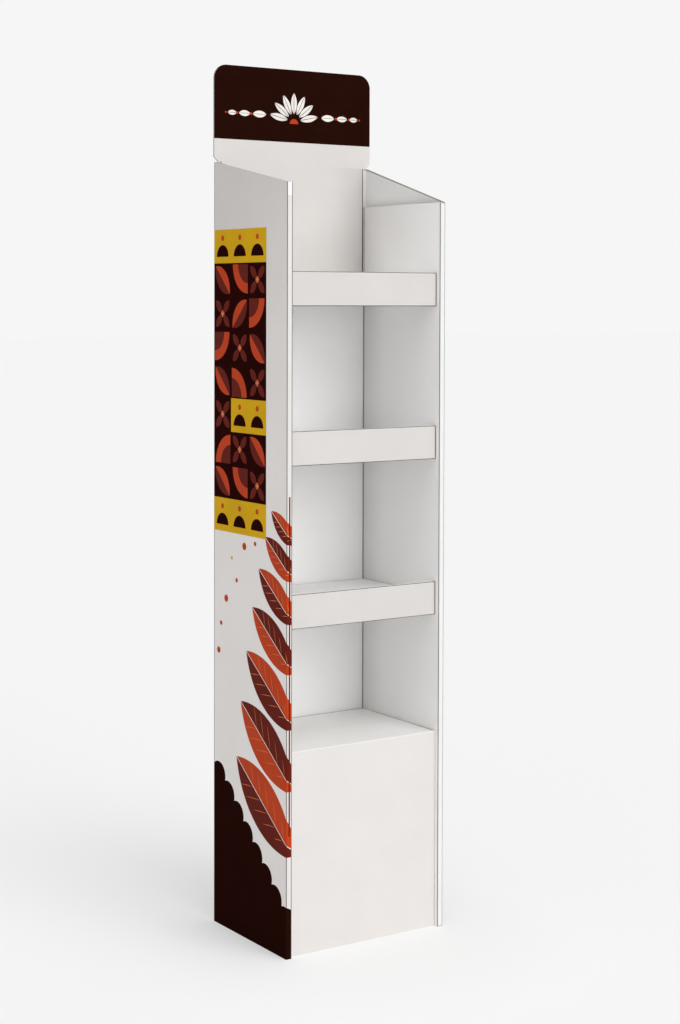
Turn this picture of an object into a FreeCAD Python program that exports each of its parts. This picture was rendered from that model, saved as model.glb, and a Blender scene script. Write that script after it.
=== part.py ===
import FreeCAD, Part
import os
import Sketcher

# Cardboard display stand: a floor-standing unit folded from 3 mm board.
#
# One folded sheet makes the body. It runs from the outer back round both sides, turns in at the front as
# narrow spines, comes back as the inner sides and closes as an inner back, so every wall is double and
# hollow. Three trays and a plinth cover stand between the inner sides, on square bars and on crossed braces.
# A header card drops into the pocket between the two backs.
#
# Frame: +Z up, +X to the right seen from the front, the front faces -Y. The origin is the middle of the
# footprint on the floor. All sizes are in millimetres.

doc = FreeCAD.newDocument("display_stand")
sheet = doc.addObject("Spreadsheet::Sheet", "Sizes")

SIZES = [
    # the folded body
    ("stand_width", 400),
    ("stand_depth", 300),
    ("back_above_top_lip", 238),
    ("left_front_drop", 57),
    ("right_front_drop", 87),
    ("board_thickness", 3),
    ("fold_radius", 2.2),
    ("spine_width", 14),
    ("pocket_gap", 3.5),
    ("inner_back_drop", 7),
    ("glue_flap_depth", 35),
    # the header card
    ("header_overhang", 3),
    ("header_rise", 211),
    ("header_corner_radius", 30),
    ("header_shoulder_lift", 1),
    ("header_chamfer", 10),
    ("header_leg_clearance", 1),
    ("header_insertion", 150),
    ("header_tip_chamfer", 8),
    # the trays
    ("bottom_lip_step", 325),
    ("middle_lip_step", 337),
    ("top_lip_step", 329),
    ("lip_band", 72),
    ("lip_rise", 27.5),
    ("lip_recess", 12.5),
    ("lip_gap", 1),
    ("lip_return", 16),
    ("tray_flange", 30),
    ("fit_clearance", 0.5),
    ("fold_relief", 2),
    # the bars under the trays
    ("bar_size", 10),
    ("bar_wall", 1),
    ("bar_corner", 1.5),
    ("bar_end_reach", 3),
    ("front_bar_inset", 20),
    ("rear_bar_inset", 25),
    ("slot_clearance", 0.5),
    # the plinth
    ("plinth_height", 426),
    ("plinth_recess", 10),
    ("plinth_flange", 40),
    ("plinth_front_flange", 35),
    ("brace_spacing", 180),
    ("brace_slot_clearance", 0.3),
]
for row, (alias, size) in enumerate(SIZES, start=1):
    sheet.set(f"A{row}", alias)
    sheet.set(f"B{row}", str(size))
    sheet.setAlias(f"B{row}", alias)
doc.recompute()

# Places that several pieces share, as expressions on the sheet's cells.
board = "Sizes.board_thickness"
clear = "Sizes.fit_clearance"
side_face = "(Sizes.stand_width / 2)"
bay_face = f"({side_face} - Sizes.spine_width)"
front_face = "(-Sizes.stand_depth / 2)"
rear_face = "(Sizes.stand_depth / 2)"
bottom_lip = "(Sizes.plinth_height + Sizes.bottom_lip_step)"
middle_lip = f"({bottom_lip} + Sizes.middle_lip_step)"
top_lip = f"({middle_lip} + Sizes.top_lip_step)"
rear_height = f"({top_lip} + Sizes.back_above_top_lip)"
left_front_height = f"({rear_height} - Sizes.left_front_drop)"
right_front_height = f"({rear_height} - Sizes.right_front_drop)"
inner_back_height = f"({top_lip} - Sizes.inner_back_drop)"
pocket_rear = f"({rear_face} - {board})"
pocket_front = f"({pocket_rear} - Sizes.pocket_gap)"
bay_rear = f"({pocket_front} - {board})"
column_middle = f"({bay_face} + {board} + (Sizes.spine_width - 2 * {board}) / 2)"
beyond = "20"
tray_side = f"({bay_face} - {clear})"
tray_rear = f"({bay_rear} - {clear})"
lip_front = f"({front_face} + Sizes.lip_recess)"
lip_wall_front = f"({lip_front} + {board} + Sizes.lip_gap)"
lip_wall_rear = f"({lip_wall_front} + {board})"
plinth_front = f"({front_face} + Sizes.plinth_recess)"
bar_reach = f"({bay_face} + {board} + Sizes.bar_end_reach)"
front_bar = f"({lip_wall_rear} + Sizes.front_bar_inset)"
rear_bar = f"({tray_rear} - Sizes.rear_bar_inset - Sizes.bar_size)"

TRAYS = {"top": top_lip, "middle": middle_lip, "bottom": bottom_lip}
BARS = {"front": front_bar, "rear": rear_bar}


def number(expression):
    """Value of an expression now, as a plain number."""
    value = sheet.evalExpression(str(expression))
    return float(getattr(value, "Value", value))


def floor_top(tray):
    return f"({TRAYS[tray]} - Sizes.lip_rise)"


def bar_top(tray):
    return f"({floor_top(tray)} - {board})"


def box_loop(low_across, high_across, low_up, high_up):
    """Corners of a rectangle, for a sketch."""
    return [(low_across, low_up), (high_across, low_up), (high_across, high_up), (low_across, high_up)]


def new_body(name):
    body = doc.addObject("PartDesign::Body", name)
    body.Label = name
    return body


def sketch(body, name, plane, loops, offset="0"):
    """Closed outlines on an origin plane of the body, every corner bound to the sheet."""
    drawing = body.newObject("Sketcher::SketchObject", name)
    support = [feature for feature in body.Origin.OriginFeatures if feature.Role == plane][0]
    drawing.AttachmentSupport = [(support, "")]
    drawing.MapMode = "FlatFace"
    drawing.setExpression("AttachmentOffset.Base.z", offset)
    for loop in loops:
        corners = [FreeCAD.Vector(number(across), number(up), 0) for across, up in loop]
        first = drawing.GeometryCount
        count = len(corners)
        for index in range(count):
            edge = Part.LineSegment(corners[index], corners[(index + 1) % count])
            drawing.addGeometry(edge, False)
        for index in range(count):
            here = first + index
            following = first + (index + 1) % count
            drawing.addConstraint(Sketcher.Constraint("Coincident", here, 2, following, 1))
        for index, (across, up) in enumerate(loop):
            here = first + index
            for kind, expression, at in (("DistanceX", across, corners[index].x),
                                         ("DistanceY", up, corners[index].y)):
                made = drawing.addConstraint(Sketcher.Constraint(kind, -1, 1, here, 1, at))
                drawing.setExpression(f"Constraints[{made}]", str(expression))
    doc.recompute()
    return drawing


def pad(body, name, drawing, length, symmetric=False, backwards=False):
    feature = body.newObject("PartDesign::Pad", name)
    feature.Profile = drawing
    feature.SideType = "Symmetric" if symmetric else "One side"
    feature.Reversed = backwards
    feature.setExpression("Length", length)
    drawing.Visibility = False
    doc.recompute()
    return feature


def pocket(body, name, drawing, length, symmetric=False, backwards=False):
    """Cut that has to take material away."""
    before = body.Shape.Volume
    feature = body.newObject("PartDesign::Pocket", name)
    feature.Profile = drawing
    feature.SideType = "Symmetric" if symmetric else "One side"
    feature.Reversed = backwards
    feature.setExpression("Length", length)
    drawing.Visibility = False
    doc.recompute()
    if feature.Shape.Volume >= before:
        raise RuntimeError(f"{body.Name}: {name} cuts nothing")
    return feature


def straight_edges(shape, direction, places):
    """Names of the straight edges along a direction that pass through the given places."""
    axis = {"X": 0, "Y": 1, "Z": 2}[direction]
    names = []
    for index, edge in enumerate(shape.Edges, start=1):
        ends = [vertex.Point for vertex in edge.Vertexes]
        if len(ends) < 2:
            continue
        along = ends[1] - ends[0]
        across = [along[other] for other in range(3) if other != axis]
        if abs(along[axis]) < 1e-6 or max(abs(part) for part in across) > 1e-6:
            continue
        at = [ends[0][other] for other in range(3) if other != axis]
        if any(max(abs(at[0] - place[0]), abs(at[1] - place[1])) < 1e-4 for place in places):
            names.append(f"Edge{index}")
    return names


def round_edges(body, name, base, direction, places, radius):
    feature = body.newObject("PartDesign::Fillet", name)
    found = straight_edges(base.Shape, direction, [(number(one), number(two)) for one, two in places])
    feature.Base = (base, found)
    feature.setExpression("Radius", radius)
    doc.recompute()
    return feature


def make_body_wrap():
    """Folded body: double walls all round, with a sloping top on each side."""
    body = new_body("body_wrap")
    outside = [
        (f"-{side_face}", front_face), (f"-{bay_face}", front_face),
        (f"-{bay_face}", bay_rear), (bay_face, bay_rear),
        (bay_face, front_face), (side_face, front_face),
        (side_face, rear_face), (f"-{side_face}", rear_face),
    ]
    hollow_side = f"({side_face} - {board})"
    hollow_bay = f"({bay_face} + {board})"
    hollow_front = f"({front_face} + {board})"
    flap_face = f"({hollow_side} - {board})"
    flap_end = f"({pocket_rear} - Sizes.glue_flap_depth)"
    inside = [
        (f"-{hollow_side}", hollow_front), (f"-{hollow_bay}", hollow_front),
        (f"-{hollow_bay}", pocket_front), (hollow_bay, pocket_front),
        (hollow_bay, hollow_front), (hollow_side, hollow_front),
        (hollow_side, pocket_rear), (f"-{flap_face}", pocket_rear),
        (f"-{flap_face}", flap_end), (f"-{hollow_side}", flap_end),
    ]
    section = sketch(body, "body_section", "XY_Plane", [outside, inside])
    walls = pad(body, "body_walls", section, rear_height)
    folds = [(f"{sign}{face}", end) for sign in ("", "-")
             for face, end in ((side_face, front_face), (bay_face, front_face),
                               (side_face, rear_face), (hollow_bay, pocket_front))]
    round_edges(body, "body_folds", walls, "Z", folds, "Sizes.fold_radius")

    above = f"({rear_height} + {beyond})"
    ahead = f"({front_face} - {beyond})"
    for side, sign, front_height in (("left", "-", left_front_height), ("right", "", right_front_height)):
        # outer side: falls in a straight line from the back to the front
        slope = [(front_face, front_height), (pocket_rear, rear_height), (pocket_rear, above),
                 (ahead, above), (ahead, front_height)]
        start = f"{sign}{column_middle}"
        cut = sketch(body, f"{side}_slope", "YZ_Plane", [slope], start)
        reach = f"({side_face} + {beyond} - {column_middle})"
        pocket(body, f"{side}_slope_cut", cut, reach, backwards=(sign == ""))
        # inner side and spine: level at the height of the front
        low, high = sorted([start, f"{sign}({bay_face} - {board})"], key=number)
        level = box_loop(low, high, front_height, above)
        cut = sketch(body, f"{side}_level", "XZ_Plane", [level], f"-{ahead}")
        pocket(body, f"{side}_level_cut", cut, f"(({pocket_front} + {pocket_rear}) / 2 - {ahead})")
    # inner back: lower than the sides, so that the header card stands in front of the outer back
    opening = box_loop(f"-{bay_face}", bay_face, inner_back_height, above)
    cut = sketch(body, "inner_back_top", "XZ_Plane", [opening], f"-({bay_rear} - {board})")
    pocket(body, "inner_back_cut", cut, f"(({pocket_front} + {pocket_rear}) / 2 - {bay_rear} + {board})")
    # slots in the inner sides that carry the bars
    slots = []
    for tray in TRAYS:
        for place in BARS.values():
            slots.append(box_loop(f"({place} - Sizes.slot_clearance)",
                                  f"({place} + Sizes.bar_size + Sizes.slot_clearance)",
                                  f"({bar_top(tray)} - Sizes.bar_size)",
                                  f"({bar_top(tray)} + Sizes.slot_clearance)"))
    cut = sketch(body, "bar_slots", "YZ_Plane", slots)
    pocket(body, "bar_slot_cut", cut, f"(2 * {column_middle})", symmetric=True)
    return body


def make_header_card():
    """Flat card with rounded top corners, chamfered shoulders and a long leg."""
    body = new_body("header_card")
    edge = f"({side_face} + Sizes.header_overhang)"
    top = f"({rear_height} + Sizes.header_rise)"
    leg = f"({bay_face} - Sizes.header_leg_clearance)"
    shoulder = f"({rear_height} + Sizes.header_shoulder_lift)"
    tip = f"({inner_back_height} - Sizes.header_insertion)"
    right = [(leg, tip), (leg, shoulder), (f"({edge} - Sizes.header_chamfer)", shoulder),
             (edge, f"({shoulder} + Sizes.header_chamfer)"), (edge, top)]
    left = [(f"-{across}", up) for across, up in reversed(right)]
    face = sketch(body, "card_outline", "XZ_Plane", [right + left], f"-{pocket_rear}")
    card = pad(body, "card", face, board)
    corners = [(f"{sign}{edge}", top) for sign in ("", "-")]
    rounded = round_edges(body, "card_corners", card, "Y", corners, "Sizes.header_corner_radius")
    tips = [(f"{sign}{leg}", tip) for sign in ("", "-")]
    chamfer = body.newObject("PartDesign::Chamfer", "card_tips")
    places = [(number(across), number(up)) for across, up in tips]
    chamfer.Base = (rounded, straight_edges(rounded.Shape, "Y", places))
    chamfer.setExpression("Size", "Sizes.header_tip_chamfer")
    doc.recompute()
    return body


def make_tray(tray):
    """Shelf tray: floor, rolled front lip with a deep band below it, and flanges turned down."""
    body = new_body(f"shelf_tray_{tray}")
    top = TRAYS[tray]
    floor = floor_top(tray)
    under = bar_top(tray)
    band_end = f"({top} - Sizes.lip_band)"
    flange_end = f"({floor} - Sizes.tray_flange)"
    profile = [
        (lip_front, band_end), (lip_front, top), (lip_wall_rear, top), (lip_wall_rear, floor),
        (tray_rear, floor), (tray_rear, flange_end), (f"({tray_rear} - {board})", flange_end),
        (f"({tray_rear} - {board})", under), (lip_wall_front, under),
        (lip_wall_front, f"({top} - {board})"), (f"({lip_front} + {board})", f"({top} - {board})"),
        (f"({lip_front} + {board})", f"({band_end} + {board})"),
        (f"({lip_front} + Sizes.lip_return)", f"({band_end} + {board})"),
        (f"({lip_front} + Sizes.lip_return)", band_end),
    ]
    side_view = sketch(body, f"{tray}_profile", "YZ_Plane", [profile])
    folded = pad(body, f"{tray}_floor", side_view, f"(2 * {tray_side})", symmetric=True)
    folds = [(lip_front, band_end), (lip_front, top), (lip_wall_rear, top), (tray_rear, floor),
             (lip_wall_front, under)]
    round_edges(body, f"{tray}_folds", folded, "X", folds, "Sizes.fold_radius")
    add_side_flanges(body, tray, f"({lip_wall_rear} + Sizes.fold_relief)", flange_end, floor)
    notches = [box_loop(f"({place} - Sizes.slot_clearance)",
                        f"({place} + Sizes.bar_size + Sizes.slot_clearance)",
                        f"({flange_end} - {beyond})", under) for place in BARS.values()]
    cut = sketch(body, f"{tray}_notches", "YZ_Plane", notches)
    pocket(body, f"{tray}_notch_cut", cut, f"(2 * {side_face})", symmetric=True)
    return body


def add_side_flanges(body, prefix, flange_front, flange_end, top):
    """Flanges along both sides of a floor, turned down against the inner sides."""
    loops = [box_loop(f"(-{tray_side})", f"(-{tray_side} + {board})", flange_end, top),
             box_loop(f"({tray_side} - {board})", tray_side, flange_end, top)]
    flange_rear = f"({tray_rear} - {board} - Sizes.fold_relief)"
    drawing = sketch(body, f"{prefix}_flange_ends", "XZ_Plane", loops, f"-{flange_rear}")
    return pad(body, f"{prefix}_flanges", drawing, f"({flange_rear} - {flange_front})")


def make_bar(tray, end):
    """Square tube under a tray, its ends standing in the slots of the inner sides."""
    body = new_body(f"shelf_bar_{tray}_{end}")
    low_y = BARS[end]
    high_y = f"({low_y} + Sizes.bar_size)"
    high_z = bar_top(tray)
    low_z = f"({high_z} - Sizes.bar_size)"
    wall = "Sizes.bar_wall"
    loops = [box_loop(low_y, high_y, low_z, high_z),
             box_loop(f"({low_y} + {wall})", f"({high_y} - {wall})",
                      f"({low_z} + {wall})", f"({high_z} - {wall})")]
    section = sketch(body, f"{tray}_{end}_section", "YZ_Plane", loops)
    tube = pad(body, f"{tray}_{end}_tube", section, f"(2 * {bar_reach})", symmetric=True)
    round_edges(body, f"{tray}_{end}_corners", tube, "X", loops[0], "Sizes.bar_corner")
    return body


def make_plinth_cover():
    """Closed lower front and the lowest floor, one sheet folded over the braces."""
    body = new_body("plinth_cover")
    top = "Sizes.plinth_height"
    flange_end = f"({top} - Sizes.plinth_flange)"
    profile = [
        (plinth_front, "0"), (plinth_front, top), (tray_rear, top), (tray_rear, flange_end),
        (f"({tray_rear} - {board})", flange_end), (f"({tray_rear} - {board})", f"({top} - {board})"),
        (f"({plinth_front} + {board})", f"({top} - {board})"), (f"({plinth_front} + {board})", "0"),
    ]
    side_view = sketch(body, "plinth_profile", "YZ_Plane", [profile])
    folded = pad(body, "plinth_sheet", side_view, f"(2 * {tray_side})", symmetric=True)
    folds = [(plinth_front, top), (tray_rear, top)]
    round_edges(body, "plinth_folds", folded, "X", folds, "Sizes.fold_radius")
    add_side_flanges(body, "plinth_top", f"({plinth_front} + {board} + Sizes.fold_relief)", flange_end, top)
    wings = [box_loop(f"(-{tray_side})", f"(-{tray_side} + {board})", plinth_front,
                      f"({plinth_front} + Sizes.plinth_front_flange)"),
             box_loop(f"({tray_side} - {board})", tray_side, plinth_front,
                      f"({plinth_front} + Sizes.plinth_front_flange)")]
    drawing = sketch(body, "plinth_wing_ends", "XY_Plane", wings)
    pad(body, "plinth_wings", drawing, f"({flange_end} - Sizes.fold_relief)")
    return body


def make_brace(name, across, half_length, notch_places, from_top):
    """Upright board under the plinth top, with halving slots where the braces cross."""
    body = new_body(name)
    plane = "XZ_Plane" if across == "0" else "YZ_Plane"
    top = f"(Sizes.plinth_height - {board})"
    half_board = f"({board} / 2)"
    low, high = half_length
    loop = box_loop(low, high, "0", top)
    start = half_board if across == "0" else f"({across} + {half_board})"
    face = sketch(body, f"{name}_face", plane, [loop], f"({start} - {board})")
    pad(body, f"{name}_board", face, board)
    slot = f"({half_board} + Sizes.brace_slot_clearance)"
    middle = f"({top} / 2)"
    ends = (middle, f"({top} + {beyond})") if from_top else (f"(-{beyond})", middle)
    notches = [box_loop(f"({place} - {slot})", f"({place} + {slot})", *ends) for place in notch_places]
    cut = sketch(body, f"{name}_slots", plane, notches, f"({start} - {board})")
    pocket(body, f"{name}_slot_cut", cut, board, backwards=True)
    return body


def make_braces():
    inner_side = f"({tray_side} - {board} - {clear})"
    front_end = f"({plinth_front} + {board} + {clear})"
    rear_end = f"({tray_rear} - {board} - {clear})"
    places = ["(-Sizes.brace_spacing / 2)", "(Sizes.brace_spacing / 2)"]
    made = [make_brace("plinth_brace_wide", "0", (f"-{inner_side}", inner_side), places, True)]
    for side, place in zip(("left", "right"), places):
        made.append(make_brace(f"plinth_brace_{side}", place, (front_end, rear_end), ["0"], False))
    return made


parts = [make_body_wrap(), make_header_card()]
for tray in TRAYS:
    parts.append(make_tray(tray))
    for end in BARS:
        parts.append(make_bar(tray, end))
parts.append(make_plinth_cover())
parts.extend(make_braces())
doc.recompute()

for item in doc.Objects:
    if "Invalid" in item.State or "Error" in item.State:
        raise RuntimeError(f"{item.Name} failed: {item.State}")
os.makedirs("parts", exist_ok=True)
for piece in parts:
    solid = piece.Shape
    if solid.isNull() or not solid.isValid() or len(solid.Solids) != 1:
        raise RuntimeError(f"{piece.Label} is not one sound solid")
    box = solid.BoundBox
    print(f"{piece.Label:24s} {solid.Volume / 1000:9.1f} cm3  "
          f"x {box.XMin:.1f} {box.XMax:.1f}  y {box.YMin:.1f} {box.YMax:.1f}  z {box.ZMin:.1f} {box.ZMax:.1f}")
    solid.exportStep(f"parts/{piece.Label}.step")
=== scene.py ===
# %% [markdown]
# # A cardboard display stand
#
# The stand is folded from white corrugated board: a tall body with double walls, a header card in its back,
# three trays with deep front bands and a closed plinth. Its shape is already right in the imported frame, so
# this lesson gives it its looks. The boards get a coated paper surface with raw edges, the print is laid on
# as thin films of ink, and soft studio light shows the folds.

# %% Load the frame
import bpy
import math
from mathutils import Matrix, Vector


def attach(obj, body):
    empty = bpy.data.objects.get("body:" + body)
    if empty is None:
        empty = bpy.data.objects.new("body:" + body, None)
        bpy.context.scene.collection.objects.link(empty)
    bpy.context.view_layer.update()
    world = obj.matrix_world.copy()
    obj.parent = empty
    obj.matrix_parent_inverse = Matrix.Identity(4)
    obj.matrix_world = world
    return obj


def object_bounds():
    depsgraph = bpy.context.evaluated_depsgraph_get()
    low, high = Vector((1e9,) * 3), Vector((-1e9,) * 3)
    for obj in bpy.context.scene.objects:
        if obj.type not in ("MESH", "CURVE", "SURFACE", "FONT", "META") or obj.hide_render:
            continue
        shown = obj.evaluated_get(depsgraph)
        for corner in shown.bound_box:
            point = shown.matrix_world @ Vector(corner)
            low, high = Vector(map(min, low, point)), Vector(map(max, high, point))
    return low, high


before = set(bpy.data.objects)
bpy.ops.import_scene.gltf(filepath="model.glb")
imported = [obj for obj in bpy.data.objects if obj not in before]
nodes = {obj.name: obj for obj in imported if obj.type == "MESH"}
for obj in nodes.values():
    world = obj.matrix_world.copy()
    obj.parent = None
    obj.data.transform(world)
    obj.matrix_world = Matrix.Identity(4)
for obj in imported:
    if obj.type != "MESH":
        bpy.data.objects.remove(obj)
cad_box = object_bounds()
MM = 0.001
print("nodes:", sorted(nodes))
print("stand measures", [round(high - low, 3) for low, high in zip(*cad_box)], "m")

# %% [markdown]
# The camera stands at the front left, a little above the middle of the stand, and looks slightly down. To
# tilt it more would make the upright lines lean, so a shift moves the stand in the picture instead, as a view
# camera does.

# %% Camera
CAMERA_PLACE = Vector((-2.2631, -3.4626, 1.3560))
LOOK_LEFT = math.radians(33.647)
LOOK_DOWN = math.radians(1.895)
CAMERA_ROLL = math.radians(0.154)
CAMERA_LENS = 67.37
CAMERA_SENSOR = 36.0
CAMERA_SHIFT = (-0.0049, -0.1442)

camera_data = bpy.data.cameras.new("photo_camera")
camera_data.lens = CAMERA_LENS
camera_data.sensor_width = CAMERA_SENSOR
camera_data.shift_x, camera_data.shift_y = CAMERA_SHIFT
camera = bpy.data.objects.new("photo_camera", camera_data)
bpy.context.scene.collection.objects.link(camera)
aim = Matrix.Rotation(-LOOK_LEFT, 4, "Z") @ Matrix.Rotation(math.pi / 2 - LOOK_DOWN, 4, "X")
camera.matrix_world = Matrix.Translation(CAMERA_PLACE) @ aim @ Matrix.Rotation(CAMERA_ROLL, 4, "Z")
bpy.context.scene.camera = camera
print("camera at", tuple(round(part, 2) for part in CAMERA_PLACE))

# %% [markdown]
# The studio has three large soft lamps at the front: the key high up, a low fill from the right that reaches
# into the bays, and a broad one from the left. Panels of light would be the nearer copy, but suns with wide
# angles have the same strength all over the floor. The sky has the floor's tone wherever the camera looks at
# it, so floor and backdrop meet without a line.

# %% Sky and lamps
SKY_STRENGTH = 0.42
BACKDROP = 0.9216
LAMPS = {
    "key_lamp": {"strength": 1.02, "spread": 36, "height": 72, "to_right": 4},
    "fill_lamp": {"strength": 1.12, "spread": 45, "height": 18, "to_right": 14},
    "left_lamp": {"strength": 0.62, "spread": 80, "height": 60, "to_right": -50},
}


def direct_rays(tree):
    """1 for what the camera sees straight, mirrored or through something clear."""
    path = tree.nodes.new("ShaderNodeLightPath")
    either = path.outputs["Is Camera Ray"]
    for kind in ("Is Glossy Ray", "Is Transmission Ray"):
        larger = tree.nodes.new("ShaderNodeMath")
        larger.operation = "MAXIMUM"
        tree.links.new(either, larger.inputs[0])
        tree.links.new(path.outputs[kind], larger.inputs[1])
        either = larger.outputs[0]
    return either


def make_sky():
    """Even light from all around, and the backdrop's tone where the camera looks at the sky."""
    world = bpy.data.worlds.new("studio")
    bpy.context.scene.world = world
    world.use_nodes = True
    tree = world.node_tree
    tree.nodes.clear()
    mix = tree.nodes.new("ShaderNodeMixShader")
    tree.links.new(direct_rays(tree), mix.inputs[0])
    for count, (level, strength) in enumerate([(1.0, SKY_STRENGTH), (BACKDROP, 1.0)]):
        shade = tree.nodes.new("ShaderNodeBackground")
        shade.inputs["Color"].default_value = (level, level, level, 1.0)
        shade.inputs["Strength"].default_value = strength
        tree.links.new(shade.outputs[0], mix.inputs[count + 1])
    out = tree.nodes.new("ShaderNodeOutputWorld")
    tree.links.new(mix.outputs[0], out.inputs[0])


def make_lamp(name, strength, spread, height, to_right):
    """Soft lamp at the front: angles in degrees above the floor and to the right of straight ahead."""
    data = bpy.data.lights.new(name, "SUN")
    data.energy = strength
    data.angle = math.radians(spread)
    sun = bpy.data.objects.new(name, data)
    bpy.context.scene.collection.objects.link(sun)
    up, side = math.radians(height), math.radians(to_right)
    towards = Vector((math.sin(side) * math.cos(up), -math.cos(side) * math.cos(up), math.sin(up)))
    sun.rotation_mode = "QUATERNION"
    sun.rotation_quaternion = towards.to_track_quat("Z", "Y")


make_sky()
for lamp_name, settings in LAMPS.items():
    make_lamp(lamp_name, **settings)
bpy.context.scene.view_settings.view_transform = "Standard"
print("sky", SKY_STRENGTH, "lamps", {name: settings["strength"] for name, settings in LAMPS.items()})

# %% [markdown]
# Every finish in this lesson is a small tree of nodes. They could be added and linked one by one, but then
# each material would take a page. A few helpers that add a node and return its output keep the trees short.
# They read Object coordinates, so a pattern stays where it is when the stand moves.

# %% Helpers for materials
class Finish:
    """A material in the making."""

    def __init__(self, name):
        self.material = bpy.data.materials.new(name)
        self.material.use_nodes = True
        self.tree = self.material.node_tree
        self.shader = self.tree.nodes["Principled BSDF"]
        self.coords = self.tree.nodes.new("ShaderNodeTexCoord")

    def put(self, socket, value):
        if isinstance(value, bpy.types.NodeSocket):
            self.tree.links.new(value, socket)
        else:
            socket.default_value = value

    def math(self, operation, *values):
        node = self.tree.nodes.new("ShaderNodeMath")
        node.operation = operation
        for socket, value in zip(node.inputs, values):
            self.put(socket, value)
        return node.outputs[0]

    def vector(self, operation, one, other):
        node = self.tree.nodes.new("ShaderNodeVectorMath")
        node.operation = operation
        self.put(node.inputs[0], one)
        self.put(node.inputs["Scale" if operation == "SCALE" else 1], other)
        return node

    def along(self, direction):
        """Distance along a direction, in mm."""
        per_mm = [part / MM for part in direction]
        return self.vector("DOT_PRODUCT", self.coords.outputs["Object"], per_mm).outputs["Value"]

    def away_from(self, point):
        """Distance from a point, in m."""
        return self.vector("DISTANCE", self.coords.outputs["Object"], point).outputs["Value"]

    def within(self, limits):
        """1 where the distance along each direction in limits, (direction, low, high), is in range."""
        mask = 1.0
        for direction, low, high in limits:
            distance = self.along(direction)
            inside = self.math("MULTIPLY", self.math("GREATER_THAN", distance, low),
                               self.math("LESS_THAN", distance, high))
            mask = self.math("MULTIPLY", mask, inside)
        return mask

    def leans(self):
        """How far the surface looks along X, Y and Z, each from 0 to 1."""
        node = self.tree.nodes.new("ShaderNodeSeparateXYZ")
        self.tree.links.new(self.coords.outputs["Normal"], node.inputs[0])
        return [self.math("ABSOLUTE", part) for part in node.outputs]

    def fade(self, value, start, end, low=0.0, high=1.0):
        """A value that goes softly from low to high while another goes from start to end."""
        node = self.tree.nodes.new("ShaderNodeMapRange")
        node.interpolation_type = "SMOOTHSTEP"
        for socket, entry in zip(node.inputs, (value, start, end, low, high)):
            self.put(socket, entry)
        return node.outputs[0]

    def noise(self, scale, detail=3.0, rough=0.6):
        node = self.tree.nodes.new("ShaderNodeTexNoise")
        self.tree.links.new(self.coords.outputs["Object"], node.inputs["Vector"])
        node.inputs["Scale"].default_value = scale
        node.inputs["Detail"].default_value = detail
        node.inputs["Roughness"].default_value = rough
        return node.outputs["Fac"]

    def uneven(self, low, high, scale, detail=3.0, rough=0.6, start=0.3, end=0.7):
        """A value that wanders between low and high over the surface."""
        return self.fade(self.noise(scale, detail, rough), start, end, low, high)

    def mix(self, fraction, one, other):
        node = self.tree.nodes.new("ShaderNodeMix")
        node.data_type = "RGBA"
        self.put(node.inputs[0], fraction)
        self.put(node.inputs[6], one)
        self.put(node.inputs[7], other)
        return node.outputs[2]

    def scale(self, colour, factor):
        part = colour[:3] if isinstance(colour, tuple) else colour
        return self.vector("SCALE", part, factor).outputs[0]

    def bump(self, height):
        """Raise the surface by a height in m."""
        node = self.tree.nodes.new("ShaderNodeBump")
        node.inputs["Strength"].default_value = 1.0
        node.inputs["Distance"].default_value = 1.0
        self.tree.links.new(height, node.inputs["Height"])
        self.tree.links.new(node.outputs["Normal"], self.shader.inputs["Normal"])

    def look(self, colour, roughness, sheen=0.5, metallic=0.0):
        self.put(self.shader.inputs["Base Color"], colour)
        self.put(self.shader.inputs["Roughness"], roughness)
        self.shader.inputs["Specular IOR Level"].default_value = sheen
        self.shader.inputs["Metallic"].default_value = metallic
        return self.material


def tone(red, green, blue):
    """Linear colour of a tone given as it shows on a screen, from 0 to 255."""
    linear = []
    for part in (red, green, blue):
        part /= 255
        linear.append(part / 12.92 if part <= 0.04045 else ((part + 0.055) / 1.055) ** 2.4)
    return (*linear, 1.0)


print("a screen grey of 128 is", round(tone(128, 128, 128)[0], 3), "in linear light")

# %% [markdown]
# The floor is a matt white sheet. Real paint alone would take the shadows too dark, so a share of the
# backdrop's tone is added to what the camera sees of it. The white plinth throws light on the floor in front
# of it, more than in the photo, and the floor is a little duller there.

# %% Floor
FLOOR_SIZE = 120
FLOOR_TONE = 0.90
FLOOR_EVEN = 0.30
# painted shade: the floor is darker in front of the plinth, where the plinth's light falls on it
FLOOR_SHADE_CORE, FLOOR_SHADE_REACH, FLOOR_SHADE_LEFT = 0.4, 0.30, 0.90


def make_floor():
    bpy.ops.mesh.primitive_plane_add(size=FLOOR_SIZE, location=(0, 0, 0))
    floor = bpy.context.object
    floor.name = "studio_floor"
    paint = Finish("floor_paint")
    half_width, front = cad_box[1][0], cad_box[0][1]
    # painted shade on the floor in front of the plinth
    level = paint.fade(paint.away_from((0, front, 0)), FLOOR_SHADE_CORE * half_width, half_width + FLOOR_SHADE_REACH,
                       FLOOR_SHADE_LEFT * FLOOR_TONE, FLOOR_TONE)
    paint.look(level, 1.0, 0.0)
    even = paint.tree.nodes.new("ShaderNodeEmission")
    even.inputs["Color"].default_value = (BACKDROP, BACKDROP, BACKDROP, 1.0)
    mix = paint.tree.nodes.new("ShaderNodeMixShader")
    paint.put(mix.inputs[0], paint.math("MULTIPLY", direct_rays(paint.tree), FLOOR_EVEN))
    paint.put(mix.inputs[1], paint.shader.outputs[0])
    paint.put(mix.inputs[2], even.outputs[0])
    paint.put(paint.tree.nodes["Material Output"].inputs["Surface"], mix.outputs[0])
    floor.data.materials.append(paint.material)


make_floor()
print("floor", FLOOR_SIZE, "m wide")
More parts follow.
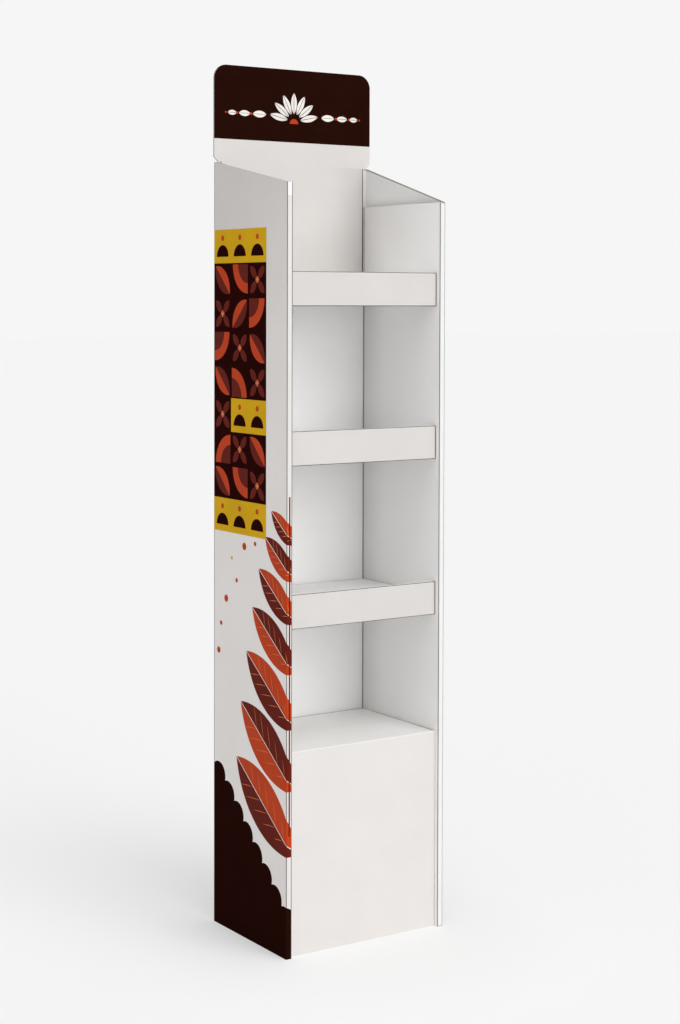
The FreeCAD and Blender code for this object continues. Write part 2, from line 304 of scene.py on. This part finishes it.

# %% [markdown]
# Corrugated board is two papers with a wavy paper between them. The outer paper is white and coated, so it
# has a soft sheen, a faint cloudiness and, seen along the light, a ripple where it dips between the flutes.
# Where the board is folded a thin dark line of painted shade runs along the fold, and where it is cut the
# brown inside shows. A picture of board would repeat and blur close up, so one function builds all of this
# from noise and waves, and each node says where its raw edges are.

# %% Coated board
FLUTE_PITCH = 6.5
FLUTE_DEPTH = 0.012 * MM
TOOTH_DEPTH = 0.012 * MM
COAT_SHEEN = 0.35
COAT_ROUGHNESS = (0.45, 0.55)
CLOUDS = {"low": 0.985, "high": 1.012, "scale": 9.0}
GRAIN = {"low": 0.985, "high": 1.015, "scale": 700.0, "detail": 2.0, "rough": 0.5, "start": 0.25, "end": 0.75}
TOOTH = {"scale": 1500.0, "detail": 2.0, "rough": 0.6}
COAT_PATCHES = 60.0
FLAT_FROM, FOLD_BELOW = 0.975, 0.93
CUT_LEAN = (0.80, 0.90)
WAVE_EDGE = 0.6
# painted shade along the round of each fold
FOLD_SHADE = (118, 114, 110)
RAW_TONES = ((112, 92, 72), (176, 152, 124))


def flutes(finish):
    """The wave of the inner paper, from -1 to 1."""
    return finish.math("SINE", finish.math("MULTIPLY", finish.along((1, 1, 0)), 2 * math.pi / FLUTE_PITCH))


def board_material(name, face, others=(), dims=(), cuts=(), fold_tone=FOLD_SHADE, raw_tones=RAW_TONES):
    """Coated board with the tone face, but for the limits that others gives other tones. Each dim makes it
    duller: a direction, a start, an end, the share of light left at the end, and limits. It is raw where a
    cut's face looks along the cut's first entry, an axis, within the cut's limits."""
    board = Finish(name)
    paper = tone(*face)
    for other, limits in others:
        paper = board.mix(board.within(limits), paper, tone(*other))
    level = board.math("MULTIPLY", board.uneven(**CLOUDS), board.uneven(**GRAIN))
    for direction, start, end, left, limits in dims:
        loss = board.fade(board.along(direction), start, end, 0.0, 1.0 - left)
        kept = board.math("SUBTRACT", 1.0, board.math("MULTIPLY", loss, board.within(limits)))
        level = board.math("MULTIPLY", level, kept)
    # a face that looks along no axis is the round of a fold, which gets a line of painted shade
    leans = board.leans()
    straight = board.math("MAXIMUM", board.math("MAXIMUM", leans[0], leans[1]), leans[2])
    fold_round = board.fade(straight, FLAT_FROM, FOLD_BELOW)
    colour = board.mix(fold_round, board.scale(paper, level), tone(*fold_tone))
    # raw cut edges: two papers with the brown wave between
    wave = flutes(board)
    kraft = board.mix(board.fade(wave, -WAVE_EDGE, WAVE_EDGE), tone(*raw_tones[0]), tone(*raw_tones[1]))
    raw = 0.0
    for axis, limits in cuts:
        mask = board.math("MULTIPLY", board.fade(leans[axis], *CUT_LEAN), board.within(limits))
        raw = board.math("MAXIMUM", raw, mask)
    # the ripple of the flutes and the tooth of the paper
    tooth = board.math("MULTIPLY", board.noise(**TOOTH), TOOTH_DEPTH)
    board.bump(board.math("ADD", board.math("MULTIPLY", wave, FLUTE_DEPTH), tooth))
    return board.look(board.mix(raw, colour, kraft), board.uneven(*COAT_ROUGHNESS, COAT_PATCHES), COAT_SHEEN)


def dress(node, material):
    data = nodes[node].data
    data.materials.clear()
    data.materials.append(material)


print("flutes every", FLUTE_PITCH, "mm")

# %% [markdown]
# The body is one sheet, yet its walls don't look alike in the photo: each catches its own share of the light,
# the sides of the bays grow duller towards the rear, and thin dark lines show where walls meet. Lamps alone
# don't get all of this right, so each wall has a tone of its own, by its place in the stand. A range is a
# direction with a start and an end in mm, a little wider than the faces that it holds.

# %% Body
X, Y, Z = (1, 0, 0), (0, 1, 0), (0, 0, 1)
HALF_WIDTH, HALF_DEPTH = 200, 150
BOARD = 3
SPINE = 14
POCKET_GAP = 3.5
FOLD_RADIUS = 2.2
SLOPE_FALL, SLOPE_TOP = 87, 1609.2
BAY_HALF = HALF_WIDTH - SPINE
BAY_REAR = HALF_DEPTH - 2 * BOARD - POCKET_GAP
BEYOND = 10

# painted light and shade: after the first, these whites are lit and shaded copies of the board for some
# walls, and the greys are painted shade in folds, corners and gaps
OUTER_WHITE = (232, 228, 225)
SPINE_SHADED_WHITE = (223, 219, 216)
RIGHT_LIT_WHITE = (230, 230, 230)
HOLLOW_LIT_WHITE = (235, 235, 234)
INNER_LIT_WHITE = (250, 249, 248)
LIT_WHITE = (240, 240, 240)
STRIP_LIT_WHITE = (254, 252, 250)
EDGE_SHADE = (112, 108, 104)
LINE_SHADE = (164, 161, 158)
GAP_SHADE = (66, 62, 58)


def both_sides(low, high):
    """The same range left and right of the middle."""
    return (X, -high, -low), (X, low, high)


ANY_HEIGHT = (Z, -BEYOND, 2000)
LEFT_PART, RIGHT_PART = both_sides(150, HALF_WIDTH + BEYOND)
LEFT_WALL = (X, -HALF_WIDTH - BEYOND, BEYOND - HALF_WIDTH)
HOLLOW = (X, BAY_HALF + 0.7, HALF_WIDTH - 1.2)
LINERS = both_sides(BAY_HALF - 2.5, BAY_HALF + 0.6)
SPINE_FRONT = (Y, -HALF_DEPTH - BEYOND, 0.5 - HALF_DEPTH)
BEHIND_SPINE = (Y, 0.5 - HALF_DEPTH, HALF_DEPTH + BEYOND)
SPINE_FOLDS = (Y, -HALF_DEPTH - 1, BOARD - HALF_DEPTH)
BAY_DEPTH = (Y, 2.5 - HALF_DEPTH, BAY_REAR + 0.1)
TOP_BAY = (Z, 1400, 1700)
LIT_TIP = (Z, 1571, 1700)
PLINTH_STRIP = [(X, BAY_HALF - 2, BAY_HALF + 0.6), (Y, 2.5 - HALF_DEPTH, 13 - HALF_DEPTH), (Z, 0, 440)]
RIGHT_SLOPE = (0, -SLOPE_FALL / (2 * HALF_DEPTH), 1)

# painted light and shade: each wall's share of the light is painted into its tone here
body_tones = [
    (RIGHT_LIT_WHITE, [RIGHT_PART, (Y, -HALF_DEPTH - BEYOND, HALF_DEPTH - BOARD)]),
    (HOLLOW_LIT_WHITE, [HOLLOW, (Y, 4 - HALF_DEPTH, HALF_DEPTH - BOARD)]),
    (SPINE_SHADED_WHITE, [LEFT_PART, SPINE_FRONT]),
    (LIT_WHITE, [(X, 1 - HALF_WIDTH, 6 - BAY_HALF), SPINE_FRONT, LIT_TIP]),
    (INNER_LIT_WHITE, [(X, -BAY_HALF - 0.6, BAY_HALF + 0.6), BAY_DEPTH]),
    (STRIP_LIT_WHITE, PLINTH_STRIP),
    # painted shade: the line in the bay's rear corner, then the folds of the rear edge and of the two spines
    (LINE_SHADE, [(X, BAY_HALF - 1.8, BAY_HALF + 0.6), (Y, BAY_REAR - 2.1, BAY_REAR + 0.5)]),
    (EDGE_SHADE, [(X, -HALF_WIDTH - 1, 1 - HALF_WIDTH), (Y, HALF_DEPTH - 3.8, HALF_DEPTH + 1)]),
    (EDGE_SHADE, [(X, -BAY_HALF - 2.8, 6 - BAY_HALF), SPINE_FOLDS]),
    (EDGE_SHADE, [(X, HALF_WIDTH - 2.2, HALF_WIDTH + 1), SPINE_FOLDS]),
    # painted shade: lines at the right spine's foot and along the edge of the sloping top
    (LINE_SHADE, [(X, BAY_HALF, HALF_WIDTH + 1), SPINE_FOLDS, (Z, -1, 1.6)]),
    (LINE_SHADE, [(X, HALF_WIDTH - 10, HALF_WIDTH - 2), (RIGHT_SLOPE, SLOPE_TOP, SLOPE_TOP + 10.8)]),
]
# the left wall gets duller upwards and rearwards; painted shade makes each liner duller rearwards, and in the
# top bay more and sooner
body_dims = [((0, 1, 1), 900, 1850, 0.77, [LEFT_WALL, BEHIND_SPINE])]
for liner in LINERS:
    body_dims.append((Y, 40, 150, 0.83, [liner, BAY_DEPTH]))
    body_dims.append((Y, -150, 60, 0.84, [liner, BAY_DEPTH, TOP_BAY]))
dress("body_wrap", board_material("body_board", OUTER_WHITE, body_tones, body_dims, [(2, [ANY_HEIGHT])]))
print("body dressed,", len(body_tones), "tones and", len(body_dims), "dims")

# %% [markdown]
# The header card, the trays and the plinth cover are cut from the same board. Their tones are set in the same
# way,
# with painted shade: the header's leg is duller low down and to the right, a dark painted shadow lies beside
# it and under each band, and grey painted shade runs where a tray or the plinth's floor meets the sides.

# %% Header card, trays and plinth
HEADER_WHITE = (213, 209, 206)
HEADER_RAW = ((70, 60, 52), (104, 90, 78))
HEADER_FACE = (Y, 140, 146)
LEG_HEIGHT = (Z, 1200, 1655)
BAND_WHITE = (210, 206, 203)
# painted shade: the folds of the trays get this dark line
BAND_FOLD_SHADE = (92, 88, 84)
BAND_ENDS = (1345, 1016, 679)
PLINTH_WHITE = (221, 217, 214)
PLINTH_FOLD = (226, 222, 218)
BASE_LIT_WHITE = (253, 252, 250)
TRAY_BANDS = (Y, -140, -130)
BEHIND_BANDS = (Y, -136.5, HALF_DEPTH)
BEHIND_PANEL = (Y, -136, HALF_DEPTH)

# painted shade: a dark line in the gap right of the leg, and the leg duller low down and towards its right
# end
header_tones = [(GAP_SHADE, [(X, 182.9, 190), HEADER_FACE, LEG_HEIGHT])]
header_dims = [(Z, 1560, 1400, 0.90, [HEADER_FACE]), (X, 90, BAY_HALF, 0.88, [HEADER_FACE, LEG_HEIGHT])]
header_cuts = [(0, [ANY_HEIGHT]), (2, [ANY_HEIGHT])]
dress("header_card", board_material("header_board", HEADER_WHITE, header_tones, header_dims, header_cuts,
                                    raw_tones=HEADER_RAW))

# painted shade: grey lines where a tray's or the plinth's floor meets the sides
seam_shades = [(LINE_SHADE, [side, (Y, -130, HALF_DEPTH)]) for side in reversed(both_sides(183.2, BAY_HALF))]
# painted light: the tray's floor behind the band is whiter; painted shade: dark lines at the band's two ends
tray_tones = [(INNER_LIT_WHITE, [BEHIND_BANDS])] + seam_shades + [
    (EDGE_SHADE, [(X, -BAY_HALF, 1.8 - BAY_HALF), TRAY_BANDS]),
    (GAP_SHADE, [(X, BAY_HALF - 2.1, BAY_HALF), TRAY_BANDS]),
]
# painted shade: a dark line under each band
for end in BAND_ENDS:
    tray_tones.append((GAP_SHADE, [(Y, -140, -134), (Z, end - 1, end + 1.6)]))
tray_board = board_material("tray_board", BAND_WHITE, tray_tones, cuts=[(0, [(Y, -200, -130)])],
                            fold_tone=BAND_FOLD_SHADE)
for tray in ("top", "middle", "bottom"):
    dress(f"shelf_tray_{tray}", tray_board)

# painted light: the plinth's floor behind the panel is whiter; painted shade: the seams and a line along its
# rear edge
plinth_tones = [(BASE_LIT_WHITE, [BEHIND_PANEL])] + seam_shades + [(LINE_SHADE, [(Y, 134.5, HALF_DEPTH)])]
# painted shade: the plinth's floor grows duller towards the front
plinth_dims = [(Y, 10, -140, 0.80, [BEHIND_PANEL])]
dress("plinth_cover", board_material("plinth_board", PLINTH_WHITE, plinth_tones, plinth_dims,
                                     fold_tone=PLINTH_FOLD))
print("header card, trays and plinth dressed")

# %% [markdown]
# The two hidden kinds of material are plain: galvanised steel for the bars under the trays, with the faint
# spangle of the zinc, and uncoated brown board for the crossed braces in the plinth. Both are one noise over
# one tone, because nobody sees them closer than through a slot.

# %% Steel and raw board
steel = Finish("zinc_steel")
spangle = steel.uneven(0.86, 1.08, 120.0, 1.0, 0.4, 0.35, 0.65)
steel.look(steel.scale(tone(186, 188, 190), spangle), steel.uneven(0.32, 0.48, 300.0), metallic=0.9)

kraft_board = Finish("raw_board")
fibres = kraft_board.uneven(0.86, 1.10, 420.0, 4.0, 0.7, 0.25, 0.75)
kraft_board.look(kraft_board.scale(tone(178, 142, 104), fibres), kraft_board.uneven(0.8, 0.92, 60.0))

for tray in ("top", "middle", "bottom"):
    for end in ("front", "rear"):
        dress(f"shelf_bar_{tray}_{end}", steel.material)
for brace in ("wide", "left", "right"):
    dress(f"plinth_brace_{brace}", kraft_board.material)
print("bars and braces dressed")

# %% [markdown]
# The print is generic: leaves, quarter discs and scallops in warm autumn colours. It could be painted by the
# board's material, but then it couldn't be a piece of its own. So each shape is modelled flat as a film of
# ink, 0.06 mm thick, from a disc or a box that is cut by planes.

# %% Flat shapes of ink
INK = 0.06 * MM
TO_FOOT, TO_FRONT = (0, 0, -1), (0, -1, 0)


def deselect():
    bpy.ops.object.select_all(action="DESELECT")


def pick(piece):
    deselect()
    piece.select_set(True)
    bpy.context.view_layer.objects.active = piece


def apply_place(piece):
    pick(piece)
    bpy.ops.object.transform_apply(location=True, rotation=True, scale=True)
    return piece


def flat_disc(radius, sides=64):
    deselect()
    on_edge = (0, math.pi / 2, 0)
    bpy.ops.mesh.primitive_cylinder_add(vertices=sides, radius=radius * MM, depth=INK, rotation=on_edge)
    return apply_place(bpy.context.object)


def flat_box(width, height):
    deselect()
    bpy.ops.mesh.primitive_cube_add(size=1)
    piece = bpy.context.object
    piece.scale = (INK, width * MM, height * MM)
    return apply_place(piece)


def trim(piece, point, outward):
    """Cut away what lies beyond a plane through point and close the cut."""
    pick(piece)
    place = [part * MM for part in point]
    bpy.ops.object.mode_set(mode="EDIT")
    bpy.ops.mesh.select_all(action="SELECT")
    bpy.ops.mesh.bisect(plane_co=place, plane_no=outward, use_fill=True, clear_outer=True)
    bpy.ops.object.mode_set(mode="OBJECT")
    return piece


def half_leaf(length, rise):
    """Segment of a disc whose straight side, the rib of the leaf, lies on the origin."""
    radius = (length ** 2 / 4 + rise ** 2) / (2 * rise)
    piece = flat_disc(radius, 160)
    trim(piece, (0, 0, radius - rise), TO_FOOT)
    piece.location.z = -(radius - rise) * MM
    return apply_place(piece)


def half_disc(radius, sides=64):
    return trim(flat_disc(radius, sides), (0, 0, 0), TO_FOOT)


def quarter_disc(radius):
    piece = flat_disc(radius, 96)
    trim(piece, (0, 0, 0), TO_FRONT)
    return trim(piece, (0, 0, 0), TO_FOOT)


print("film", INK / MM, "mm")

# %% [markdown]
# A printed sheet is one with its board, and a film should lie on it in the same way. Each shape is made at
# the origin, turned by some degrees and moved to its place on a wall. A higher layer lies on the one below
# it. All shapes of one ink then become one piece that rides with the stand.

# %% Lay and join
WALLS = {
    "side": (Vector((-HALF_WIDTH * MM, 0, 0)), 0.0),
    "header": (Vector((0, (HALF_DEPTH - 2 * BOARD) * MM, 0)), math.pi / 2),
}


def lay(piece, wall, layer, across, up, turn=0.0):
    """Lay a flat piece on a wall, turned by some degrees, at a place in mm."""
    corner, facing = WALLS[wall]
    spot = Matrix.Translation((-INK * (layer - 0.5), across * MM, up * MM))
    piece.matrix_world = (Matrix.Translation(corner) @ Matrix.Rotation(facing, 4, "Z") @ spot
                          @ Matrix.Rotation(math.radians(turn), 4, "X"))
    return apply_place(piece)


def join(name, pieces, material):
    deselect()
    for piece in pieces:
        piece.select_set(True)
    bpy.context.view_layer.objects.active = pieces[0]
    if len(pieces) > 1:
        bpy.ops.object.join()
    whole = bpy.context.object
    whole.name = name
    whole.data.name = name
    whole.data.materials.clear()
    whole.data.materials.append(material)
    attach(whole, "root")
    return whole


print("walls", sorted(WALLS))

# %% [markdown]
# The print on the left side runs round the fold onto the spine. Wrapping a film over the body with a modifier
# could leave it uneven, so it is bent as the board is: cut into strips at the fold, and each strip and all
# beyond it turned a little further.

# %% Fold a film round the spine
FOLD_STEPS = 6
LEFT_FOLD = Vector((-HALF_WIDTH * MM, (FOLD_RADIUS - HALF_DEPTH) * MM, 0))
SPINE_FLAT = (SPINE - 2 * FOLD_RADIUS) * MM


def fold_round_spine(piece):
    """Bend what reaches beyond the side's front edge round the fold, in small turns."""
    chord = 2 * FOLD_RADIUS * MM * math.sin(math.pi / 4 / FOLD_STEPS)
    pick(piece)
    bpy.ops.object.mode_set(mode="EDIT")
    bpy.ops.mesh.select_all(action="SELECT")
    end = LEFT_FOLD.y - FOLD_STEPS * chord - SPINE_FLAT
    bpy.ops.mesh.bisect(plane_co=(0, end, 0), plane_no=TO_FRONT, use_fill=True, clear_outer=True)
    for step in range(FOLD_STEPS + 1):
        bpy.ops.mesh.select_all(action="SELECT")
        bpy.ops.mesh.bisect(plane_co=(0, LEFT_FOLD.y - step * chord, 0), plane_no=TO_FRONT)
    line, heading = LEFT_FOLD.copy(), 0.0
    for step in range(FOLD_STEPS + 1):
        ahead = Vector((math.sin(heading), -math.cos(heading), 0))
        turn = math.pi / 2 / FOLD_STEPS * (0.5 if step in (0, FOLD_STEPS) else 1.0)
        bpy.ops.mesh.select_all(action="DESELECT")
        bpy.ops.object.mode_set(mode="OBJECT")
        for vertex in piece.data.vertices:
            vertex.select = (vertex.co - line).dot(ahead) > 1e-6
        bpy.ops.object.mode_set(mode="EDIT")
        bpy.ops.transform.rotate(value=-turn, orient_axis="Z", center_override=line)
        heading += turn
        line = line + chord * Vector((math.sin(heading), -math.cos(heading), 0))
    bpy.ops.object.mode_set(mode="OBJECT")
    return piece


print("spine", round(SPINE_FLAT / MM, 1), "mm flat")

# %% [markdown]
# Ink on coated board keeps the board's ripple under a sheen of its own. It is a thin coat of one colour, so
# a tone with clouds and grain is enough. The dark inks have next to no sheen, because the lamps would grey
# them.

# %% Inks
INK_SHEEN = 0.08
INK_ROUGHNESS = (0.38, 0.46)
INK_CLOUDS = {"low": 0.95, "high": 1.05, "scale": 14.0}
INK_GRAIN = {"low": 0.94, "high": 1.06, "scale": 900.0, "detail": 2.0, "start": 0.25, "end": 0.75}


def ink_material(name, colour, sheen=INK_SHEEN):
    ink = Finish(name)
    level = ink.math("MULTIPLY", ink.uneven(**INK_CLOUDS), ink.uneven(**INK_GRAIN))
    ink.bump(ink.math("MULTIPLY", flutes(ink), FLUTE_DEPTH))
    return ink.look(ink.scale(tone(*colour), level), ink.uneven(*INK_ROUGHNESS, COAT_PATCHES), sheen)


INKS = {
    "mustard": ink_material("mustard_ink", (210, 164, 4), 0.04),
    "russet": ink_material("russet_ink", (186, 62, 22), 0.04),
    "ember": ink_material("ember_ink", (214, 112, 66)),
    "maroon": ink_material("maroon_ink", (98, 29, 20), 0.02),
    "ground": ink_material("ground_ink", (40, 12, 11), 0.0),
    "brown": ink_material("brown_ink", (36, 14, 9), 0.0),
    "cream": ink_material("cream_ink", (232, 226, 220)),
}
print("inks", sorted(INKS))

# %% [markdown]
# The upper part of the left side has an upright panel of three by nine tiles on one dark ground. Mustard
# rows close it at the top and the bottom, and a short one lies between. Separate ground tiles would leave
# hairlines between them, so the ground is one box. The dark tiles take turns with three patterns: a quarter
# disc, a leaf and a flower.

# %% Tile panel
TILE = 72.0
ROWS, COLUMNS = 9, 3
PANEL_REAR = HALF_DEPTH - FOLD_RADIUS
PANEL_TOP = 1508.0
MUSTARD_ROWS = {0: (0, 3), 5: (1, 3), 8: (0, 3)}
QUARTER_INSET = 3
QUARTERS = (("russet", 62, 2), ("maroon", 40, 3))
TILE_LEAF = (84, 21)
PETAL, PETAL_OUT = (36, 9), 22
HEART_RADIUS = 7
BOWL_RADIUS, BOWL_DROP = 25, 22
SEED_RADIUS, SEED_RISE = 6, 18
HAIR = 0.1
films = {name: [] for name in ("mustard", "russet", "ember", "maroon", "ground")}


def turned(degrees, across, up):
    """A place in mm turned about the origin."""
    return Matrix.Rotation(math.radians(degrees), 2) @ Vector((across, up))


def add(ink, piece, layer, across, up, turn=0.0):
    films[ink].append(lay(piece, "side", layer, across, up, turn))


def quarter_tile(across, up, turn):
    corner = turned(turn, QUARTER_INSET - TILE / 2, QUARTER_INSET - TILE / 2)
    for ink, radius, layer in QUARTERS:
        add(ink, quarter_disc(radius), layer, across + corner.x, up + corner.y, turn)


def leaf_tile(across, up, turn):
    add("maroon", half_leaf(*TILE_LEAF), 2, across, up, turn + 45)
    add("russet", half_leaf(*TILE_LEAF), 2, across, up, turn + 225)


def flower_tile(across, up, turn):
    for lean in range(turn + 45, turn + 405, 90):
        for side, half_turn in ((HAIR / 2, 0), (-HAIR / 2, 180)):
            spot = turned(lean, PETAL_OUT, side)
            add("maroon", half_leaf(*PETAL), 2, across + spot.x, up + spot.y, lean + half_turn)
    add("ember", flat_disc(HEART_RADIUS), 2, across, up)


def mustard_tile(across, up):
    add("ground", half_disc(BOWL_RADIUS), 3, across, up - BOWL_DROP)
    add("russet", flat_disc(SEED_RADIUS), 3, across, up + SEED_RISE)


ground = flat_box(COLUMNS * TILE, ROWS * TILE)
add("ground", ground, 1, PANEL_REAR - COLUMNS * TILE / 2, PANEL_TOP - ROWS * TILE / 2)
for row in range(ROWS):
    up = PANEL_TOP - TILE * (row + 0.5)
    first, end = MUSTARD_ROWS.get(row, (0, 0))
    if end > first:
        add("mustard", flat_box((end - first) * TILE, TILE), 2, PANEL_REAR - TILE * (first + end) / 2, up)
    for column in range(COLUMNS):
        across = PANEL_REAR - TILE * (column + 0.5)
        if first <= column < end:
            mustard_tile(across, up)
        else:
            dark_tile = (quarter_tile, leaf_tile, flower_tile)[(row + 2 * column) % 3]
            dark_tile(across, up, 90 * ((row * 2 + column) % 4))
print("tile films", {name: len(pieces) for name, pieces in films.items()})

# %% [markdown]
# Below it a branch climbs the narrow front face, and its leaves run round the fold onto the side. Each leaf
# has a light and a dark half with a bare rib between, and short veins. Two halves laid back to back are
# easier to colour than one leaf cut in two. Berries float beside the tips.

# %% Branch of leaves
LEAN = 36.0
FOOT_ACROSS = -180.0
RIB = 1.6
# foot above the floor, length and rise of each half
LEAVES = [(214, 286, 56), (349, 264, 51), (476, 236, 45), (590, 206, 39), (693, 174, 33), (781, 142, 27),
          (855, 112, 21)]
STEM_ACROSS, STEM_UP = -156.0, 605
STEM_WIDTH, STEM_LENGTH = 3.4, 700
VEINS = (-0.32, -0.19, -0.06, 0.07, 0.20)
VEIN_LEAN = math.radians(40)
VEIN_SHARE, VEIN_RISE = 0.72, 1.3
# place across and up, and radius
BERRIES = [(96, 716, 8), (52, 760, 5), (118, 660, 5), (20, 836, 8), (72, 806, 4), (-24, 846, 5),
           (128, 600, 7)]
SMALL_BERRY = 4
wrapped = {"russet": [], "ember": [], "maroon": []}


def leaf(foot, length, rise, inks):
    along = Matrix.Rotation(math.radians(LEAN), 2)
    middle = Vector((FOOT_ACROSS, foot)) + along @ Vector((length / 2, 0))
    for ink, side, turn in ((inks[0], RIB / 2, 0), (inks[1], -RIB / 2, 180)):
        spot = middle + along @ Vector((0, side))
        wrapped[ink].append(lay(half_leaf(length, rise), "side", 1, spot.x, spot.y, LEAN + turn))
    for share in VEINS:
        reach = VEIN_SHARE * rise * (1 - 4 * share ** 2) / math.sin(VEIN_LEAN)
        for side in (1, -1):
            spot = middle + along @ Vector((length * share + reach / 2 * math.cos(VEIN_LEAN),
                                            side * (RIB + reach / 2 * math.sin(VEIN_LEAN))))
            turn = LEAN + side * math.degrees(VEIN_LEAN)
            wrapped["ember"].append(lay(half_leaf(reach, VEIN_RISE), "side", 2, spot.x, spot.y, turn))


for count, (foot, length, rise) in enumerate(LEAVES):
    leaf(foot, length, rise, ("maroon", "russet") if count % 2 else ("russet", "maroon"))
wrapped["maroon"].append(lay(flat_box(STEM_WIDTH, STEM_LENGTH), "side", 2, STEM_ACROSS, STEM_UP))
for across, up, radius in BERRIES:
    add("russet" if radius > SMALL_BERRY else "mustard", flat_disc(radius, 32), 1, across, up)
print("branch films", {name: len(pieces) for name, pieces in wrapped.items()})

# %% [markdown]
# The foot of the side is dark brown. Its upper edge falls from the rear to the front in eight scallops and
# runs on round the fold. The scallops are discs united with a sloping board. A union of films as thin as ink
# can fail, so the board and the discs are a hundred times thicker until they are one.

# %% Scalloped foot
REAR_END, REAR_RISE = PANEL_REAR, 345.0
FRONT_END, FRONT_RISE = -161.0, 62.0
SCALLOPS = 8
SCALLOP_SHARE = 0.56
FOOT_GAP = 0.3
UNION_TIMES = 100
edge = Vector((FRONT_END - REAR_END, FRONT_RISE - REAR_RISE))
slope = edge.normalized()


def unite(base, other):
    deselect()
    bpy.context.view_layer.objects.active = base
    joint = base.modifiers.new("unite", "BOOLEAN")
    joint.operation, joint.solver, joint.object = "UNION", "EXACT", other
    bpy.ops.object.modifier_apply(modifier="unite")
    bpy.data.objects.remove(other)
    return base


def thicken(piece, times, across=0.0, up=0.0):
    piece.scale.x = times
    piece.location = (0, across * MM, up * MM)
    return apply_place(piece)


foot = flat_box(REAR_END - FRONT_END, REAR_RISE)
thicken(foot, UNION_TIMES, (REAR_END + FRONT_END) / 2, REAR_RISE / 2)
trim(foot, (0, REAR_END, REAR_RISE), (0, slope.y, -slope.x))
for count in range(SCALLOPS):
    spot = Vector((REAR_END, REAR_RISE)) + edge * (count + 0.5) / SCALLOPS
    scallop = flat_disc(edge.length / SCALLOPS * SCALLOP_SHARE)
    unite(foot, thicken(scallop, UNION_TIMES, spot.x, spot.y))
trim(foot, (0, REAR_END, 0), (0, 1, 0))
trim(foot, (0, 0, FOOT_GAP), TO_FOOT)
thicken(foot, 1 / UNION_TIMES)
fold_round_spine(join("foot_field", [lay(foot, "side", 1, 0, 0)], INKS["brown"]))
print("foot's edge falls along", [round(part, 1) for part in slope])

# %% [markdown]
# The header card carries a dark field with rounded corners and a fan of seven cream leaves over a small sun.
# On either side of the fan a row of three leaves grows smaller, with a red berry after each. The field is a
# box whose two upper edges are bevelled, to follow the rounded corners of the card.

# %% Header print
FIELD_LOW, FIELD_HIGH, FIELD_HALF = 1706.0, 1865.8, 202.8
CORNER_RADIUS, CORNER_STEPS = 30, 14
FAN_UP, FAN_SPREAD, FAN_REACH = 1752.0, 26.0, 40.0
FAN_LEAVES, FAN_LEAF, FAN_RIB = 7, (46, 7.0), 1.0
SUN_RADIUS, SUN_DROP = 11, 5
ROW_UP, ROW_RIB, BERRY_GAP = 1764.0, 0.8, 5
# place across, length and rise of each half, and radius of the berry after it
ROW = [(89, 34, 7.0, 3.0), (127, 28, 6.0, 2.6), (158, 22, 5.0, 2.2)]
fan, dots = [], []


def header_field():
    field = flat_box(2 * FIELD_HALF, FIELD_HIGH - FIELD_LOW)
    bpy.ops.object.mode_set(mode="EDIT")
    bpy.ops.mesh.select_mode(type="EDGE")
    bpy.ops.mesh.select_all(action="DESELECT")
    bpy.ops.object.mode_set(mode="OBJECT")
    for line in field.data.edges:
        ends = [field.data.vertices[index].co for index in line.vertices]
        line.select = all(end.z > 0 for end in ends) and abs(ends[0].x - ends[1].x) > INK / 2
    bpy.ops.object.mode_set(mode="EDIT")
    bpy.ops.mesh.bevel(offset=CORNER_RADIUS * MM, offset_type="OFFSET", segments=CORNER_STEPS, affect="EDGES")
    bpy.ops.mesh.select_mode(type="VERT")
    bpy.ops.object.mode_set(mode="OBJECT")
    return lay(field, "header", 1, 0, (FIELD_LOW + FIELD_HIGH) / 2)


def cream_leaf(size, middle, rib, lean=0):
    """Leaf of two halves, with a bare rib between them."""
    for side, turn in ((rib / 2, 0), (-rib / 2, 180)):
        spot = middle + turned(lean, 0, side)
        fan.append(lay(half_leaf(*size), "header", 2, spot.x, spot.y, lean + turn))


join("header_field", [header_field()], INKS["brown"])
for count in range(FAN_LEAVES):
    lean = 90 + FAN_SPREAD * (count - FAN_LEAVES // 2)
    cream_leaf(FAN_LEAF, Vector((0, FAN_UP)) + turned(lean, FAN_REACH, 0), FAN_RIB, lean)
dots.append(lay(half_disc(SUN_RADIUS, 48), "header", 2, 0, FAN_UP - SUN_DROP))
for way in (1, -1):
    for across, length, rise, berry in ROW:
        cream_leaf((length, rise), Vector((way * across, ROW_UP)), ROW_RIB)
        dots.append(lay(flat_disc(berry, 32), "header", 2, way * (across + length / 2 + BERRY_GAP), ROW_UP))
join("header_fan", fan, INKS["cream"])
join("header_sun", dots, INKS["russet"])
print("header print laid")

# %% [markdown]
# A press lays down one ink after another, and the films are kept in the same way: one piece for each ink.
# The films of the branch are folded round the spine once they are joined, so that their leaves bend together.

# %% Join the films
for name, pieces in wrapped.items():
    fold_round_spine(join(f"branch_{name}", pieces, INKS[name]))
for name, pieces in films.items():
    join(f"panel_{name}", pieces, INKS[name])
print("films joined:", len(wrapped), "on the branch and", len(films), "on the panel")
